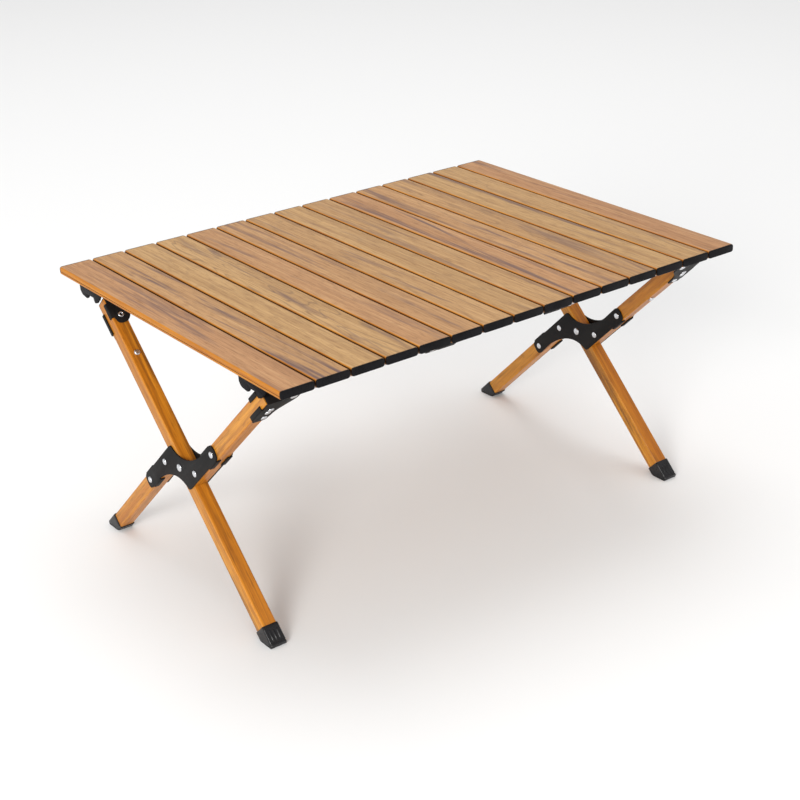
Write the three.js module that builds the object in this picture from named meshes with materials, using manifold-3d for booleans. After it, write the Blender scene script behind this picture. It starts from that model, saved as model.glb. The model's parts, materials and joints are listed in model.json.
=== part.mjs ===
// Folding picnic table: a roll-up slatted top, clipped on a folding frame of two scissor legs and two rails.
// Millimetres. +X runs along the table's length, -Y is the front, +Z is up.
// The origin is on the floor, under the middle of the tabletop.

import * as THREE from 'three';
import { mergeVertices } from 'three/addons/utils/BufferGeometryUtils.js';
import Module from 'manifold-3d';

const wasm = await Module();
wasm.setup();

// ---------------------------------------------------------------- driving dimensions

const TABLE_LENGTH = 900;
const TABLE_DEPTH = 648;
const TABLE_HEIGHT = 463;

const SLAT_COUNT = 15;
const SLAT_GAP = 2.4;
const SLAT_THICKNESS = 13;
const SLAT_WALL = 1.2;
const SLAT_EDGE_RADIUS = 2;
const SLAT_CAVITY_RADIUS = 1;
const END_CAP_LENGTH = 7;
const CORD_HOLE_RADIUS = 2.5;

const HUB_HEIGHT = 217;
const LEG_ANGLE = THREE.MathUtils.degToRad(44.3);
const LEG_INSET = 16;
const LEG_SECTION = 25;
const LEG_WALL = 1.4;
const LEG_CORNER = 2;
const SPLIT_OFFSET = 27;
const SPLIT_END_GAP = 2;
const SWING_LEG_TOP = 302;

const FIT_GAP = 0.3;
const HOLE_CLEARANCE = 0.4;
// Sides of a faceted pin, hole or head.
const ROUND_SIDES = 8;

const PLATE_THICKNESS = 2.2;
const PLATE_HALF_LENGTH = 128;
const PLATE_ARM_MARGIN = 12.5;
const PLATE_WAIST = 84;
const PLATE_PEAK = { from: 3, to: -4, drop: 4 };
const PLATE_THROAT = [14, 8];
const PLATE_CORNER = 9;
const PLATE_BULGE = 3;
const PLATE_RIVETS = [38.7, 115.6];
// Tabs folded over the tubes: on the side away from the hub, and on the side that faces it.
const PLATE_FAR_TAB = { from: 90, to: 120, reach: 7 };
const OUTER_NEAR_TAB = { from: 82, to: 114, reach: 7 };
const INNER_NEAR_TAB = { from: 36, to: 60, reach: 7 };
const FOLD_OVERLAP = 2;
const RIVET_RADIUS = 3;
const RIVET_HEAD_RADIUS = 5.6;
const RIVET_HEAD_HEIGHT = 2.2;
const HUB_PIVOT_RADIUS = 4;
const HUB_HEAD_RADIUS = 6.5;

const FOOT_WALL = 1.6;
const FOOT_GRIP = 27.5;
const FOOT_POCKET = 10;
const FOOT_CORNER = 3;
const FOOT_TOE = 9;
const FOOT_TOE_RISE = 6;
const FOOT_HEEL_RISE = 4;

const RAIL_SECTION = 22;
const RAIL_WALL = 1.4;
const RAIL_PIVOT_INSET = 31.5;
const RAIL_PIVOT_AT = 306;
const END_BAR_SPAN = 250;
const RAIL_PIN_RADIUS = 3.5;
const PIN_HEAD_RADIUS = 6;
const PIN_HEAD_HEIGHT = 1.6;

const BRACKET_THICKNESS = 2;
const CHEEK_TOP = 7;
const CHEEK_OUTER = 11;
const CHEEK_NECK = 13;
const CHEEK_EYE = 11;
const CHEEK_EYE_DROP = 12;
const BRACKET_BOLT = { inset: 3, drop: 38 };
const BRACKET_RIVETS = [{ inset: 5, drop: 30 }, { inset: 5, drop: 58 }];
const BRACKET_RIVET_DEPTH = 8;
const UPPER_TAB = { top: 14, bottom: 40, reach: 6 };
const LOWER_TAB = { top: 22, bottom: 59, reach: 6 };
const TAB_OVERLAP = 8;
const KNUCKLE_LENGTH = 60;
const KNUCKLE_OVERHANG = 11;
const KNUCKLE_THICKNESS = 2;

const CLIP_LENGTH = 85;
const CLIP_WIDTH = 44;
const CLIP_THICKNESS = 3;
const CLIP_EAR_DEPTH = 21;
const CLIP_EAR_THICKNESS = 2;
const CLIP_EAR_SPACING = 36;
const CLIP_OVERHANG = 3;
const CLIP_SIDE_ROOM = 2.5;
const SCREW_AT = 199;
const SCREW_DEPTH = 7;
const SCREW_HEAD_RADIUS = 5;
const SCREW_HEAD_HEIGHT = 3;

// ---------------------------------------------------------------- worked-out positions

const SLAT_PITCH = TABLE_LENGTH / SLAT_COUNT;
const SLAT_WIDTH = SLAT_PITCH - SLAT_GAP;
const TOP_UNDERSIDE = TABLE_HEIGHT - SLAT_THICKNESS;
const LEG_HALF = LEG_SECTION / 2;
const LEG_X = TABLE_LENGTH / 2 - LEG_INSET - LEG_HALF;
const RAIL_HALF = RAIL_SECTION / 2;
// Along a leg, how much further the offset tubes run to reach the same height as the swing leg.
const SPLIT_SHIFT = SPLIT_OFFSET / Math.tan(LEG_ANGLE);
// Distance from the hub to the floor, along the centre line of each lower tube.
const SWING_FLOOR = HUB_HEIGHT / Math.sin(LEG_ANGLE);
const SPLIT_FLOOR = SWING_FLOOR + SPLIT_SHIFT;
const PIN_HOLE_RADIUS = RAIL_PIN_RADIUS + HOLE_CLEARANCE;
const RIVET_HOLE_RADIUS = RIVET_RADIUS + HOLE_CLEARANCE;
const PLATE_OUT = LEG_HALF + FIT_GAP;
const BRACKET_OUT = LEG_HALF + FIT_GAP;
// How far above the floor, along the leg, a tube ends inside its foot.
const FOOT_SLEEVE_END = FOOT_GRIP - FOOT_POCKET + 1;
// The gap that a turning end bar needs beyond its pin, in front of the centre bar.
const KNUCKLE_ROOM = Math.hypot(RAIL_HALF, RAIL_HALF) + 1;

// ---------------------------------------------------------------- materials

const material = (color, roughness, metalness) =>
  new THREE.MeshStandardMaterial({ color, roughness, metalness });
const woodPrint = () => material(0xc89b6e, 0.5, 0.1);
const legPrint = () => material(0xd28f3c, 0.45, 0.1);
const blackSteel = () => material(0x2b2929, 0.45, 0.6);
const blackPlastic = () => material(0x262527, 0.5, 0);
const bareAluminium = () => material(0xb4b4b4, 0.35, 0.9);
const brightSteel = () => material(0xd0d0d0, 0.25, 1);

// ---------------------------------------------------------------- solids and booleans

function toSolid(geometry) {
  const bare = geometry.clone();
  bare.deleteAttribute('normal');
  bare.deleteAttribute('uv');
  const merged = mergeVertices(bare, 1e-4);
  return new wasm.Manifold(new wasm.Mesh({
    numProp: 3,
    vertProperties: Float32Array.from(merged.attributes.position.array),
    triVerts: Uint32Array.from(merged.index.array),
  }));
}

function toGeometry(solid) {
  const mesh = solid.getMesh();
  const geometry = new THREE.BufferGeometry();
  geometry.setAttribute('position', new THREE.BufferAttribute(Float32Array.from(mesh.vertProperties), 3));
  geometry.setIndex(new THREE.BufferAttribute(Uint32Array.from(mesh.triVerts), 1));
  geometry.computeVertexNormals();
  return geometry;
}

const join = (solids) => solids.reduce((sum, solid) => sum.add(solid));
const cut = (solid, tools) => tools.reduce((rest, tool) => rest.subtract(tool), solid);

function box(low, high) {
  const size = high.map((value, axis) => value - low[axis]);
  const middle = high.map((value, axis) => (value + low[axis]) / 2);
  return toSolid(new THREE.BoxGeometry(...size).translate(...middle));
}

// A box from three pairs of limits, each pair in either order.
function spanBox(...spans) {
  const low = spans.map(([a, b]) => Math.min(a, b));
  return box(low, spans.map(([a, b]) => Math.max(a, b)));
}

// A round rod between two points that differ along one axis only.
function rod(axis, radius, from, to, sides = ROUND_SIDES) {
  const length = Math.abs(to[axis] - from[axis]);
  const geometry = new THREE.CylinderGeometry(radius, radius, length, sides);
  if (axis === 0) geometry.rotateZ(Math.PI / 2);
  if (axis === 2) geometry.rotateX(Math.PI / 2);
  geometry.translate(...from.map((value, index) => (value + to[index]) / 2));
  return toSolid(geometry);
}

// A rod along X, long enough to pass through a leg and both of its plates.
const crossRod = (radius, [y, z]) => rod(0, radius, [-LEG_SECTION, y, z], [LEG_SECTION, y, z]);

// A shallow rounded head whose flat side lies at the origin and whose dome points along +Y.
function domeGeometry(radius, height, sides = ROUND_SIDES) {
  const profile = [
    new THREE.Vector2(0, -height / 2),
    new THREE.Vector2(radius, -height / 2),
    new THREE.Vector2(radius * 0.8, height * 0.6),
    new THREE.Vector2(0, height),
  ];
  return new THREE.LatheGeometry(profile, sides);
}

// A dome at a point, pointing along one axis; sign says which way.
function dome(axis, sign, radius, height, at) {
  const geometry = domeGeometry(radius, height);
  if (axis === 0) geometry.rotateZ(-sign * Math.PI / 2);
  if (axis === 1 && sign < 0) geometry.rotateZ(Math.PI);
  if (axis === 2) geometry.rotateX(sign * Math.PI / 2);
  return toSolid(geometry.translate(...at));
}

// An outline through corner points, each rounded by its own radius: [x, y, radius].
function roundedOutline(corners) {
  const shape = new THREE.Shape();
  corners.forEach(([x, y, radius], index) => {
    const corner = new THREE.Vector2(x, y);
    const before = new THREE.Vector2(...corners.at(index - 1));
    const after = new THREE.Vector2(...corners[(index + 1) % corners.length]);
    const start = corner.clone().add(before.sub(corner).setLength(radius));
    const end = corner.clone().add(after.sub(corner).setLength(radius));
    if (index === 0) shape.moveTo(start.x, start.y);
    else shape.lineTo(start.x, start.y);
    if (radius > 0) shape.quadraticCurveTo(x, y, end.x, end.y);
  });
  shape.closePath();
  return shape;
}

function roundedRectangle(width, height, radius) {
  const x = width / 2;
  const y = height / 2;
  return roundedOutline([[-x, -y, radius], [x, -y, radius], [x, y, radius], [-x, y, radius]]);
}

function extrude(shape, depth, curveSegments = 2) {
  return new THREE.ExtrudeGeometry(shape, { depth, curveSegments, bevelEnabled: false });
}

// Extrudes an outline drawn in X and Z along +Y, from one Y to another.
function extrudeAlongY(shape, from, to, curveSegments) {
  const geometry = extrude(shape, to - from, curveSegments);
  return toSolid(geometry.rotateX(Math.PI / 2).translate(0, to, 0));
}

// Extrudes an outline drawn in Y and Z along +X.
function extrudeAlongX(shape, from, to, curveSegments) {
  const geometry = extrude(shape, to - from, curveSegments);
  geometry.applyMatrix4(new THREE.Matrix4().makeBasis(
    new THREE.Vector3(0, 1, 0),
    new THREE.Vector3(0, 0, 1),
    new THREE.Vector3(1, 0, 0),
  ));
  return toSolid(geometry.translate(from, 0, 0));
}

// Extrudes an outline drawn in X and Y along +Z.
const extrudeAlongZ = (shape, from, to, curveSegments) =>
  toSolid(extrude(shape, to - from, curveSegments).translate(0, 0, from));

function namedMesh(name, solid, look) {
  const mesh = new THREE.Mesh(toGeometry(solid), look);
  mesh.name = name;
  return mesh;
}

// ---------------------------------------------------------------- tubes and pins

// A hollow square tube along Y, centred on X = 0 and the given Z.
function squareTube(section, wall, corner, from, to, z = 0) {
  const outer = extrudeAlongY(roundedRectangle(section, section, corner), from, to);
  const inside = section - 2 * wall;
  const bore = extrudeAlongY(roundedRectangle(inside, inside, corner / 2), from - 1, to + 1);
  return outer.subtract(bore).translate([0, 0, z]);
}

const legTube = (from, to, z) => squareTube(LEG_SECTION, LEG_WALL, LEG_CORNER, from, to, z);

// A pin along Z with a dome head on each end, outside a clevis of the given half width.
function clevisPin(x, y, halfWidth) {
  const reach = halfWidth + FIT_GAP;
  return join([
    rod(2, RAIL_PIN_RADIUS, [x, y, -reach], [x, y, reach]),
    dome(2, 1, PIN_HEAD_RADIUS, PIN_HEAD_HEIGHT, [x, y, reach + PIN_HEAD_HEIGHT / 2]),
    dome(2, -1, PIN_HEAD_RADIUS, PIN_HEAD_HEIGHT, [x, y, -reach - PIN_HEAD_HEIGHT / 2]),
  ]);
}

// ---------------------------------------------------------------- tabletop

function slatSolid() {
  const half = TABLE_DEPTH / 2;
  const outline = roundedRectangle(SLAT_WIDTH, SLAT_THICKNESS, SLAT_EDGE_RADIUS);
  const cavity = roundedRectangle(
    SLAT_WIDTH - 2 * SLAT_WALL,
    SLAT_THICKNESS - 2 * SLAT_WALL,
    SLAT_CAVITY_RADIUS,
  );
  const inner = half - END_CAP_LENGTH;
  return cut(extrudeAlongY(outline, -half, half), [
    extrudeAlongY(cavity, -inner, inner),
    rod(1, CORD_HOLE_RADIUS, [0, -half - 1, 0], [0, half + 1, 0]),
  ]);
}

function slat(index) {
  const name = `slat_${String(index + 1).padStart(2, '0')}`;
  const mesh = namedMesh(name, slatSolid(), woodPrint());
  mesh.position.set((index + 0.5) * SLAT_PITCH - TABLE_LENGTH / 2, 0, TABLE_HEIGHT - SLAT_THICKNESS / 2);
  return mesh;
}

// A clip: a flange screwed under an end slat, with two ears that hang outside the leg.
// Its origin is on the slat's underside over the rail, at the flange's outer edge; +X points inward.
function clipSolid(inward) {
  const top = -FIT_GAP;
  const bottom = top - CLIP_THICKNESS;
  const root = bottom + 1;
  const tip = bottom - CLIP_EAR_DEPTH;
  const half = CLIP_EAR_SPACING / 2;
  const front = -half - CLIP_OVERHANG;
  const flange = roundedOutline([
    [0, front, 2],
    [inward * CLIP_WIDTH, front, 4],
    [inward * CLIP_WIDTH, front + CLIP_LENGTH, 4],
    [0, front + CLIP_LENGTH, 2],
  ]);
  const wedgeEar = roundedOutline([
    [-half - 1, root, 0],
    [half - 2, root, 0],
    [5, tip, 3],
    [-5, tip + 3, 3],
  ]);
  const roundEar = roundedOutline([
    [half + 1, root, 0],
    [3 * half, root, 0],
    [3 * half - 3, tip + 4, 8],
    [half + 9, tip, 8],
  ]);
  const earFrom = Math.min(0, inward * CLIP_EAR_THICKNESS);
  const earTo = Math.max(0, inward * CLIP_EAR_THICKNESS);
  return join([
    extrudeAlongZ(flange, bottom, top),
    extrudeAlongX(wedgeEar, earFrom, earTo, 3),
    extrudeAlongX(roundEar, earFrom, earTo, 3),
  ]);
}

function clip(name, side, railY) {
  const mesh = namedMesh(name, clipSolid(-side), blackPlastic());
  const outerEdge = LEG_X + LEG_HALF + BRACKET_THICKNESS + CLIP_EAR_THICKNESS + CLIP_SIDE_ROOM;
  mesh.position.set(side * outerEdge, railY, TOP_UNDERSIDE);
  return mesh;
}

// ---------------------------------------------------------------- legs
// Each leg is built in its own frame: +Y runs up along the leg from the hub, +Z is its upper side.

// A foot cap: a sleeve on the tube's end, cut off at the floor's plane.
function footSolid(floorAt, z) {
  const outer = LEG_SECTION + 2 * FOOT_WALL;
  const half = outer / 2;
  const top = -floorAt + FOOT_GRIP;
  const tan = 1 / Math.tan(LEG_ANGLE);
  const toe = -floorAt - half * tan;
  const heel = -floorAt + half * tan;
  const side = roundedOutline([
    [top, -half, 1],
    [top, half, 1],
    [toe + FOOT_TOE, half, 2],
    [toe + FOOT_TOE_RISE * tan, half - FOOT_TOE_RISE, 1.5],
    [heel - FOOT_HEEL_RISE * tan, FOOT_HEEL_RISE - half, 1.5],
    [heel + 2, -half, 1],
  ]);
  const section = extrudeAlongY(roundedRectangle(outer, outer, FOOT_CORNER), toe - 5, top + 1);
  const pocket = LEG_SECTION + 2 * FIT_GAP;
  return extrudeAlongX(side, -half, half)
    .intersect(section)
    .subtract(extrudeAlongY(roundedRectangle(pocket, pocket, LEG_CORNER), top - FOOT_POCKET, top + 1))
    .translate([0, 0, z]);
}

// The Z-shaped hub plate, drawn in the split leg's frame: two arms, turned half round from each other.
function hubPlateOutline() {
  const far = SPLIT_OFFSET + PLATE_ARM_MARGIN;
  const near = SPLIT_OFFSET - PLATE_ARM_MARGIN;
  const end = PLATE_HALF_LENGTH;
  const shoulder = end - PLATE_CORNER;
  const [throatY, throatZ] = PLATE_THROAT;
  const shape = new THREE.Shape();
  const arm = (sign) => {
    shape.lineTo(sign * shoulder, -sign * far);
    shape.quadraticCurveTo(sign * end, -sign * far, sign * end, -sign * (far - PLATE_CORNER));
    shape.quadraticCurveTo(sign * (end + PLATE_BULGE), -sign * near, sign * shoulder, -sign * near);
    shape.lineTo(sign * PLATE_WAIST, -sign * (near + 1));
    const peak = sign * (far - PLATE_PEAK.drop);
    shape.quadraticCurveTo(sign * throatY, -sign * throatZ, sign * PLATE_PEAK.from, peak);
    shape.quadraticCurveTo(sign, sign * far, sign * PLATE_PEAK.to, sign * far);
  };
  shape.moveTo(-PLATE_PEAK.to, -far);
  arm(1);
  arm(-1);
  shape.closePath();
  return shape;
}

// A tab folded from a hub plate over one side of an arm's tube. face is that side's height in the split
// leg's frame, and side says whether it looks up (+1) or down (-1).
function plateTab(outward, tab, arm, face, side) {
  const inner = outward * PLATE_OUT;
  const outer = outward * (PLATE_OUT + PLATE_THICKNESS);
  const skin = face + side * FIT_GAP;
  const top = skin + side * PLATE_THICKNESS;
  const y = [arm * tab.from, arm * tab.to];
  return join([
    spanBox([outward * (PLATE_OUT - tab.reach), outer], y, [skin, top]),
    spanBox([inner, outer], y, [skin - side * FOLD_OVERLAP, top]),
  ]);
}

function hubPlate(outward, nearTab, withRivets) {
  const near = outward * PLATE_OUT;
  const far = outward * (PLATE_OUT + PLATE_THICKNESS);
  const tabs = [1, -1].flatMap((arm) => [
    plateTab(outward, PLATE_FAR_TAB, arm, -arm * (SPLIT_OFFSET + LEG_HALF), -arm),
    plateTab(outward, nearTab, arm, -arm * (SPLIT_OFFSET - LEG_HALF), arm),
  ]);
  const sheet = extrudeAlongX(hubPlateOutline(), Math.min(near, far), Math.max(near, far), 6);
  const plate = join([sheet, ...tabs]).subtract(crossRod(HUB_PIVOT_RADIUS + HOLE_CLEARANCE, [0, 0]));
  const spots = rivetSpots();
  if (!withRivets) return cut(plate, spots.map((spot) => crossRod(RIVET_HOLE_RADIUS, spot)));
  const tail = -far - outward * FIT_GAP;
  const tailHead = tail - outward * RIVET_HEAD_HEIGHT / 4;
  return join([plate, ...spots.flatMap(([y, z]) => [
    rod(0, RIVET_RADIUS, [near, y, z], [tail, y, z]),
    dome(0, outward, RIVET_HEAD_RADIUS, RIVET_HEAD_HEIGHT, [far, y, z]),
    dome(0, -outward, RIVET_HEAD_RADIUS, RIVET_HEAD_HEIGHT / 2, [tailHead, y, z]),
  ])]);
}

// The four fixed rivets of a plate pair, two in each tube of the split leg.
function rivetSpots() {
  return [1, -1].flatMap((sign) => PLATE_RIVETS.map((along) => [sign * along, -sign * SPLIT_OFFSET]));
}

function hubPivot() {
  const reach = PLATE_OUT + PLATE_THICKNESS + FIT_GAP;
  return join([
    rod(0, HUB_PIVOT_RADIUS, [-reach, 0, 0], [reach, 0, 0]),
    dome(0, 1, HUB_HEAD_RADIUS, RIVET_HEAD_HEIGHT, [reach + RIVET_HEAD_HEIGHT / 2, 0, 0]),
    dome(0, -1, HUB_HEAD_RADIUS, RIVET_HEAD_HEIGHT, [-reach - RIVET_HEAD_HEIGHT / 2, 0, 0]),
  ]);
}

// The holes that a leg-top bracket's bolt and rivets pass through. pivotAt is the rail pin's place.
function bracketSpots(inward, pivotAt) {
  return [
    { x: inward * BRACKET_BOLT.inset, y: pivotAt - BRACKET_BOLT.drop, through: true },
    ...BRACKET_RIVETS.map(({ inset, drop }) => ({ x: inward * inset, y: pivotAt - drop, through: false })),
  ];
}

function bracketHoles(inward, pivotAt, z) {
  return bracketSpots(inward, pivotAt).map(({ x, y, through }) =>
    rod(2, RIVET_HOLE_RADIUS, [x, y, z - LEG_SECTION], [x, y, through ? z + LEG_SECTION : z]));
}

// The bolt goes through both cheeks and the tube; the rivets only hold the lower cheek.
function bracketFasteners(inward, pivotAt, far) {
  return bracketSpots(inward, pivotAt).flatMap(({ x, y, through }) => {
    const up = through ? 1 : -1;
    const top = through ? far : BRACKET_RIVET_DEPTH - LEG_HALF;
    return [
      dome(2, up, RIVET_HEAD_RADIUS, RIVET_HEAD_HEIGHT, [x, y, up * far]),
      rod(2, RIVET_RADIUS, [x, y, -far], [x, y, top]),
    ];
  });
}

// A tab bent from a cheek over the tube's outer face. face is +1 for the upper cheek, -1 for the lower one.
function cheekTab(inward, pivotAt, face, tab) {
  const outer = -inward * (LEG_HALF + FIT_GAP);
  const edge = outer - inward * BRACKET_THICKNESS;
  const near = face * BRACKET_OUT;
  const far = near + face * BRACKET_THICKNESS;
  const y = [pivotAt - tab.bottom, pivotAt - tab.top];
  return join([
    spanBox([outer, edge], y, [near - face * tab.reach, far]),
    spanBox([-inward * TAB_OVERLAP, edge], y, [near, far]),
  ]);
}

// Two cheeks joined by a web over the tube's end; the rail's end bar turns between them on its pin.
function legTopBracket(inward, pivotAt, tubeTop, z) {
  const near = BRACKET_OUT;
  const far = near + BRACKET_THICKNESS;
  const pinX = inward * RAIL_PIVOT_INSET;
  const webTop = tubeTop + FIT_GAP + BRACKET_THICKNESS;
  const eye = [
    [pinX + inward * CHEEK_EYE, pivotAt - CHEEK_EYE_DROP, 8],
    [pinX + inward * CHEEK_EYE, pivotAt + CHEEK_TOP, 4],
    [inward * CHEEK_NECK, pivotAt + CHEEK_TOP, 3],
    [inward * CHEEK_NECK, webTop, 1],
    [-inward * CHEEK_OUTER, webTop, 2],
  ];
  const upper = roundedOutline([
    [-inward * CHEEK_OUTER, pivotAt - 30, 6],
    [-inward * 6, pivotAt - 52, 8],
    [inward * 12, pivotAt - 52, 8],
    [inward * 24, pivotAt - 34, 8],
    ...eye,
  ]);
  const lower = roundedOutline([
    [-inward * CHEEK_OUTER, pivotAt - 68, 3],
    [inward * 12, pivotAt - 70, 5],
    [inward * 18, pivotAt - 40, 8],
    ...eye,
  ]);
  const body = join([
    extrudeAlongZ(upper, near, far),
    extrudeAlongZ(lower, -far, -near),
    box([-CHEEK_OUTER, tubeTop + FIT_GAP, -far], [CHEEK_OUTER, webTop, far]),
    cheekTab(inward, pivotAt, 1, UPPER_TAB),
    cheekTab(inward, pivotAt, -1, LOWER_TAB),
    ...bracketFasteners(inward, pivotAt, far),
  ]);
  const pinHole = rod(2, PIN_HOLE_RADIUS, [pinX, pivotAt, -far - 1], [pinX, pivotAt, far + 1]);
  return body.subtract(pinHole).translate([0, 0, z]);
}

// A dome-headed screw in one face of a leg tube. face is +1 for the upper face, -1 for the lower one.
function legScrew(face, z) {
  const skin = z + face * (LEG_HALF + FIT_GAP);
  return join([
    dome(2, face, SCREW_HEAD_RADIUS, SCREW_HEAD_HEIGHT, [0, SCREW_AT, skin + face * SCREW_HEAD_HEIGHT / 2]),
    rod(2, RIVET_RADIUS, [0, SCREW_AT, skin - face * SCREW_DEPTH], [0, SCREW_AT, skin + face]),
  ]);
}

const screwHole = (face, z) =>
  rod(2, RIVET_HOLE_RADIUS, [0, SCREW_AT, z], [0, SCREW_AT, z + face * LEG_SECTION]);

// ---------------------------------------------------------------- rails

// An end bar, from its leg-top pin at the origin towards +X.
function endBar() {
  const outer = roundedRectangle(RAIL_SECTION, RAIL_SECTION, LEG_CORNER);
  const inside = RAIL_SECTION - 2 * RAIL_WALL;
  const from = -RAIL_HALF;
  const to = END_BAR_SPAN + RAIL_HALF;
  const tube = extrudeAlongX(outer, from, to)
    .subtract(extrudeAlongX(roundedRectangle(inside, inside, 1), from - 1, to + 1));
  return cut(tube, [0, END_BAR_SPAN].map((x) =>
    rod(2, PIN_HOLE_RADIUS, [x, 0, -RAIL_SECTION], [x, 0, RAIL_SECTION])));
}

function centreBar(span) {
  const inside = RAIL_SECTION - 2 * RAIL_WALL;
  const half = span / 2 - KNUCKLE_ROOM;
  return extrudeAlongX(roundedRectangle(RAIL_SECTION, RAIL_SECTION, LEG_CORNER), -half, half)
    .subtract(extrudeAlongX(roundedRectangle(inside, inside, 1), -half - 1, half + 1));
}

// A channel on the end of the centre bar. Its pin is at the origin; inward points along the centre bar.
function knuckle(inward) {
  const near = RAIL_HALF + FIT_GAP;
  const far = near + KNUCKLE_THICKNESS;
  const start = -inward * KNUCKLE_OVERHANG;
  const end = inward * (KNUCKLE_LENGTH - KNUCKLE_OVERHANG);
  const cheek = roundedOutline([
    [start, -near, 7],
    [end, -near, 3],
    [end, near, 3],
    [start, near, 7],
  ]);
  return join([
    extrudeAlongZ(cheek, near, far),
    extrudeAlongZ(cheek, -far, -near),
    spanBox([inward * KNUCKLE_ROOM, end], [-far, -near], [-far, far]),
  ]).subtract(rod(2, PIN_HOLE_RADIUS, [0, 0, -far - 1], [0, 0, far + 1]));
}

// ---------------------------------------------------------------- assembly

const table = new THREE.Group();

// A leg's frame at a hub. depth is +1 for the leg that rises to the back, -1 for the other one.
function legFrame(side, depth) {
  const frame = new THREE.Group();
  frame.position.set(side * LEG_X, 0, HUB_HEIGHT);
  frame.rotation.set(LEG_ANGLE, 0, depth > 0 ? 0 : Math.PI, 'ZYX');
  table.add(frame);
  return frame;
}

function addSwingLeg(side, label) {
  const frame = legFrame(side, 1);
  const inward = -side;
  const pivotHole = crossRod(HUB_PIVOT_RADIUS + HOLE_CLEARANCE, [0, 0]);
  const holes = [pivotHole, ...bracketHoles(inward, RAIL_PIVOT_AT, 0)];
  if (side < 0) holes.push(screwHole(1, 0));
  const tube = cut(legTube(FOOT_SLEEVE_END - SWING_FLOOR, SWING_LEG_TOP, 0), holes);
  const bracket = legTopBracket(inward, RAIL_PIVOT_AT, SWING_LEG_TOP, 0);
  const pin = clevisPin(inward * RAIL_PIVOT_INSET, RAIL_PIVOT_AT, BRACKET_OUT + BRACKET_THICKNESS);
  frame.add(
    namedMesh(`leg_swing_${label}`, tube, legPrint()),
    namedMesh(`foot_front_${label}`, footSolid(SWING_FLOOR, 0), blackPlastic()),
    namedMesh(`bracket_back_${label}`, bracket, blackSteel()),
    namedMesh(`rail_pin_back_${label}`, pin, brightSteel()),
  );
  if (side < 0) frame.add(namedMesh(`leg_screw_${label}`, legScrew(1, 0), brightSteel()));
}

function addSplitLeg(side, label) {
  const frame = legFrame(side, -1);
  const inward = side;
  const pivotAt = RAIL_PIVOT_AT + SPLIT_SHIFT;
  const tubeTop = SWING_LEG_TOP + SPLIT_SHIFT;
  const start = LEG_HALF + SPLIT_END_GAP;
  const rivetHoles = rivetSpots().map((spot) => crossRod(RIVET_HOLE_RADIUS, spot));
  const holes = [...rivetHoles, ...bracketHoles(inward, pivotAt, -SPLIT_OFFSET)];
  if (side > 0) holes.push(screwHole(-1, -SPLIT_OFFSET));
  const upper = cut(legTube(start, tubeTop, -SPLIT_OFFSET), holes);
  const lower = cut(legTube(FOOT_SLEEVE_END - SPLIT_FLOOR, -start, SPLIT_OFFSET), rivetHoles);
  const bracket = legTopBracket(inward, pivotAt, tubeTop, -SPLIT_OFFSET);
  const pin = clevisPin(inward * RAIL_PIVOT_INSET, pivotAt, BRACKET_OUT + BRACKET_THICKNESS);
  frame.add(
    namedMesh(`leg_upper_${label}`, upper, legPrint()),
    namedMesh(`leg_lower_${label}`, lower, legPrint()),
    namedMesh(`foot_back_${label}`, footSolid(SPLIT_FLOOR, SPLIT_OFFSET), blackPlastic()),
    namedMesh(`hub_plate_outer_${label}`, hubPlate(-inward, OUTER_NEAR_TAB, true), blackSteel()),
    namedMesh(`hub_plate_inner_${label}`, hubPlate(inward, INNER_NEAR_TAB, false), blackSteel()),
    namedMesh(`hub_pivot_${label}`, hubPivot(), brightSteel()),
    namedMesh(`bracket_front_${label}`, bracket, blackSteel()),
    namedMesh(`rail_pin_front_${label}`, pin.translate([0, 0, -SPLIT_OFFSET]), brightSteel()),
  );
  if (side > 0) frame.add(namedMesh(`leg_screw_${label}`, legScrew(-1, -SPLIT_OFFSET), brightSteel()));
}

// A rail's own frame lies along X through the leg-top pins, tilted with the legs that carry it.
function addRail(depth, label) {
  const pinX = LEG_X - RAIL_PIVOT_INSET;
  const along = depth > 0 ? RAIL_PIVOT_AT : RAIL_PIVOT_AT + SPLIT_SHIFT;
  const offset = depth > 0 ? 0 : -SPLIT_OFFSET;
  const frame = new THREE.Group();
  frame.rotation.set(LEG_ANGLE, 0, depth > 0 ? 0 : Math.PI, 'ZYX');
  frame.position.copy(new THREE.Vector3(0, along, offset).applyEuler(frame.rotation));
  frame.position.z += HUB_HEIGHT;
  table.add(frame);
  const knuckleX = pinX - END_BAR_SPAN;
  const span = 2 * knuckleX;
  frame.add(namedMesh(`rail_centre_bar_${label}`, centreBar(span), bareAluminium()));
  for (const side of [-1, 1]) {
    const world = depth > 0 ? side : -side;
    const end = world < 0 ? 'left' : 'right';
    const bar = namedMesh(`rail_end_bar_${label}_${end}`, endBar(), bareAluminium());
    bar.position.x = side * pinX;
    if (side > 0) bar.rotation.z = Math.PI;
    frame.add(bar);
    const joint = namedMesh(`rail_knuckle_${label}_${end}`, knuckle(-side), blackSteel());
    joint.position.x = side * knuckleX;
    frame.add(joint);
    const pin = namedMesh(`knuckle_pin_${label}_${end}`,
      clevisPin(0, 0, RAIL_HALF + FIT_GAP + KNUCKLE_THICKNESS), brightSteel());
    pin.position.x = side * knuckleX;
    frame.add(pin);
  }
}

for (let index = 0; index < SLAT_COUNT; index += 1) table.add(slat(index));

for (const [side, label] of [[-1, 'left'], [1, 'right']]) {
  addSwingLeg(side, label);
  addSplitLeg(side, label);
}

addRail(1, 'back');
addRail(-1, 'front');

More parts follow.
